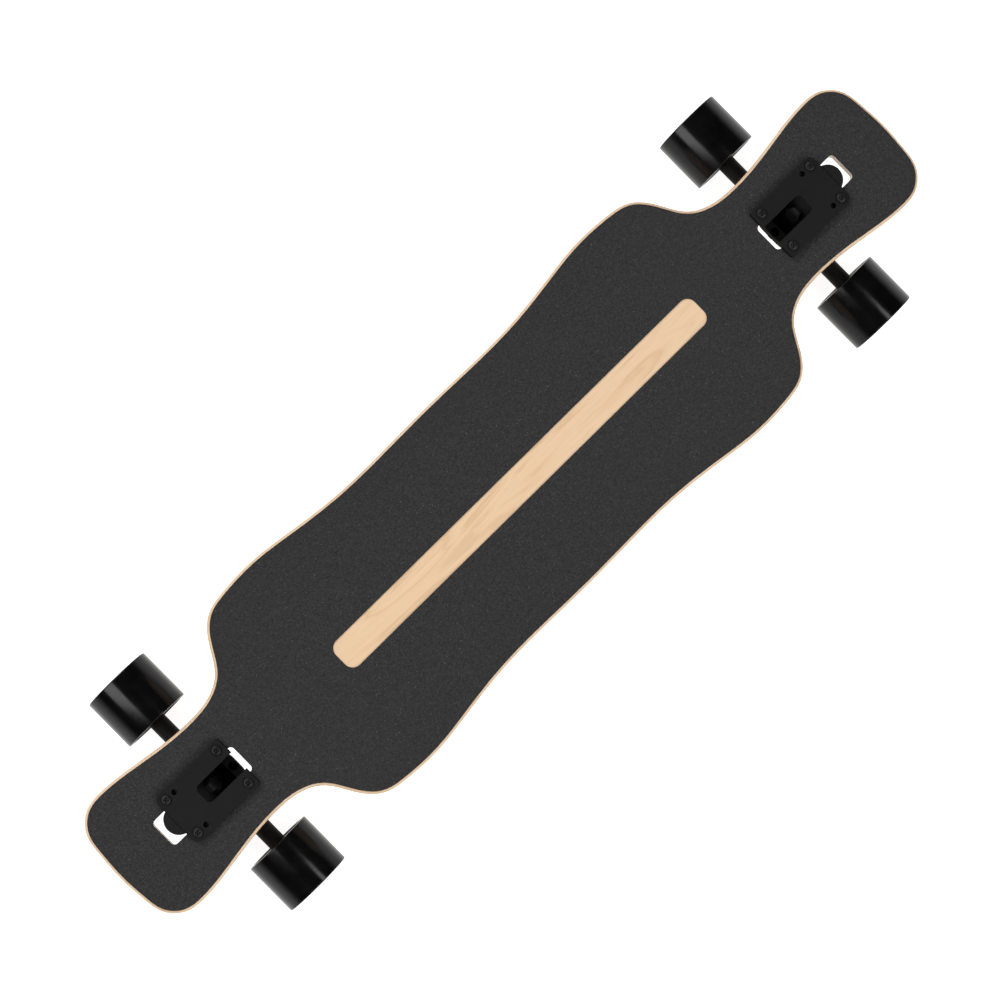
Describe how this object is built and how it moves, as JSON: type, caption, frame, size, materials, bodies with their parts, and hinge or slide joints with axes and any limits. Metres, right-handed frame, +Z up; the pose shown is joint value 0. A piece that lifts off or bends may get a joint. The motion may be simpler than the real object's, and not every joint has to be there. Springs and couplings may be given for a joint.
{
  "type": "electric skateboard",
  "caption": "Drop-through electric longboard with hub motors in the rear wheels, reverse-kingpin trucks and a battery tray hidden under the deck.",
  "frame": {"origin": "on the ground below the middle of the deck", "axes": "+X along the board to the front, +Y left, +Z up"},
  "size_m": [0.9906, 0.2682, 0.1028],
  "materials": {
    "maple_deck": "clear-coated maple plies, light edge",
    "grip": "black silicon carbide grit on film",
    "black_casting": "black powder coat, slightly textured",
    "black_steel": "black oxide steel",
    "zinc_steel": "bright zinc plate",
    "axle_steel": "ground steel",
    "black_urethane": "glossy cast urethane",
    "bushing_urethane": "matt cast urethane",
    "wheel_core": "glass-filled nylon",
    "bearing_steel": "polished bearing steel",
    "motor_shell": "black anodised, turned",
    "magnet": "nickel-plated magnet",
    "lamination": "stacked electrical steel",
    "copper": "enamelled copper wire",
    "tray_plastic": "fine-textured black ABS",
    "seal_rubber": "closed-cell rubber",
    "cell_wrap": "shrink-wrapped cell; aluminium stands in for the mean density",
    "cradle_plastic": "moulded ABS",
    "nickel": "nickel strip",
    "circuit_board": "solder mask",
    "component": "moulded packages",
    "heat_aluminium": "milled aluminium",
    "button_metal": "satin anodised",
    "port_plastic": "moulded nylon"
  },
  "bodies": {
    "board": {"deck": "maple_deck", "grip_tape": "grip", "front_baseplate": "black_casting", "rear_baseplate": "black_casting", "front_kingpin": "black_steel", "rear_kingpin": "black_steel", "kingpin_nuts": "black_steel", "bushing_washers": "black_steel", "front_boardside_bushing": "bushing_urethane", "front_roadside_bushing": "bushing_urethane", "rear_boardside_bushing": "bushing_urethane", "rear_roadside_bushing": "bushing_urethane", "pivot_cups": "bushing_urethane", "truck_bolts": "black_steel", "truck_lock_nuts": "black_steel", "tray": "tray_plastic", "tray_gasket": "seal_rubber", "tray_screws": "black_steel", "battery_cells": "cell_wrap", "cell_cradles": "cradle_plastic", "cell_links": "nickel", "battery_management_board": "circuit_board", "motor_controller_board": "circuit_board", "controller_components": "component", "heat_plate": "heat_aluminium", "cable_glands": "port_plastic", "button_bezel": "button_metal", "button_spring": "zinc_steel", "charge_port": "port_plastic", "charge_cap_pin": "zinc_steel"},
    "front_truck": {"front_hanger": "black_casting", "front_axle": "axle_steel", "front_axle_nuts": "zinc_steel", "front_axle_spacers": "zinc_steel", "front_inner_rings": "bearing_steel"},
    "rear_truck": {"rear_hanger": "black_casting", "rear_axle": "axle_steel", "rear_axle_nuts": "zinc_steel", "rear_axle_spacers": "zinc_steel", "rear_inner_rings": "bearing_steel", "motor_stators": "lamination", "motor_windings": "copper"},
    "power_button": {"power_button": "button_metal"},
    "charge_cap": {"charge_port_cap": "seal_rubber"},
    "front_left_wheel": {"front_left_tyre": "black_urethane", "front_left_core": "wheel_core", "front_left_bearings": "bearing_steel"},
    "front_right_wheel": {"front_right_tyre": "black_urethane", "front_right_core": "wheel_core", "front_right_bearings": "bearing_steel"},
    "rear_left_wheel": {"rear_left_tyre": "black_urethane", "rear_left_motor_can": "motor_shell", "rear_left_end_cover": "motor_shell", "rear_left_magnets": "magnet", "rear_left_bearings": "bearing_steel"},
    "rear_right_wheel": {"rear_right_tyre": "black_urethane", "rear_right_motor_can": "motor_shell", "rear_right_end_cover": "motor_shell", "rear_right_magnets": "magnet", "rear_right_bearings": "bearing_steel"}
  },
  "joints": [
    {"name": "front_steer", "type": "hinge", "parent": "board", "child": "front_truck", "pos_m": [0.37385, 0, 0.0368], "axis": [0.6428, 0, 0.766], "range_deg": [-18, 18], "stiffness_Nm_per_rad": 90, "deforming": ["front_boardside_bushing", "front_roadside_bushing"]},
    {"name": "front_left_spin", "type": "hinge", "parent": "front_truck", "child": "front_left_wheel", "pos_m": [0.376, 0.1069, 0.035], "axis": [0, 1, 0], "continuous": true},
    {"name": "front_right_spin", "type": "hinge", "parent": "front_truck", "child": "front_right_wheel", "pos_m": [0.376, -0.1069, 0.035], "axis": [0, 1, 0], "continuous": true},
    {"name": "rear_steer", "type": "hinge", "parent": "board", "child": "rear_truck", "pos_m": [-0.37385, 0, 0.0368], "axis": [-0.6428, 0, 0.766], "range_deg": [-18, 18], "stiffness_Nm_per_rad": 90, "deforming": ["rear_boardside_bushing", "rear_roadside_bushing"]},
    {"name": "rear_left_spin", "type": "hinge", "parent": "rear_truck", "child": "rear_left_wheel", "pos_m": [-0.376, 0.1069, 0.035], "axis": [0, 1, 0], "continuous": true},
    {"name": "rear_right_spin", "type": "hinge", "parent": "rear_truck", "child": "rear_right_wheel", "pos_m": [-0.376, -0.1069, 0.035], "axis": [0, 1, 0], "continuous": true},
    {"name": "power_button_press", "type": "slide", "parent": "board", "child": "power_button", "axis": [0, -1, 0], "range_m": [0, 0.0008], "stiffness_N_per_m": 700, "springref_m": -0.001, "deforming": ["button_spring"]},
    {"name": "charge_cap_open", "type": "hinge", "parent": "board", "child": "charge_cap", "pos_m": [-0.07922, 0.0527, 0.07518], "axis": [1, 0, 0], "range_deg": [0, 85]}
  ]
}
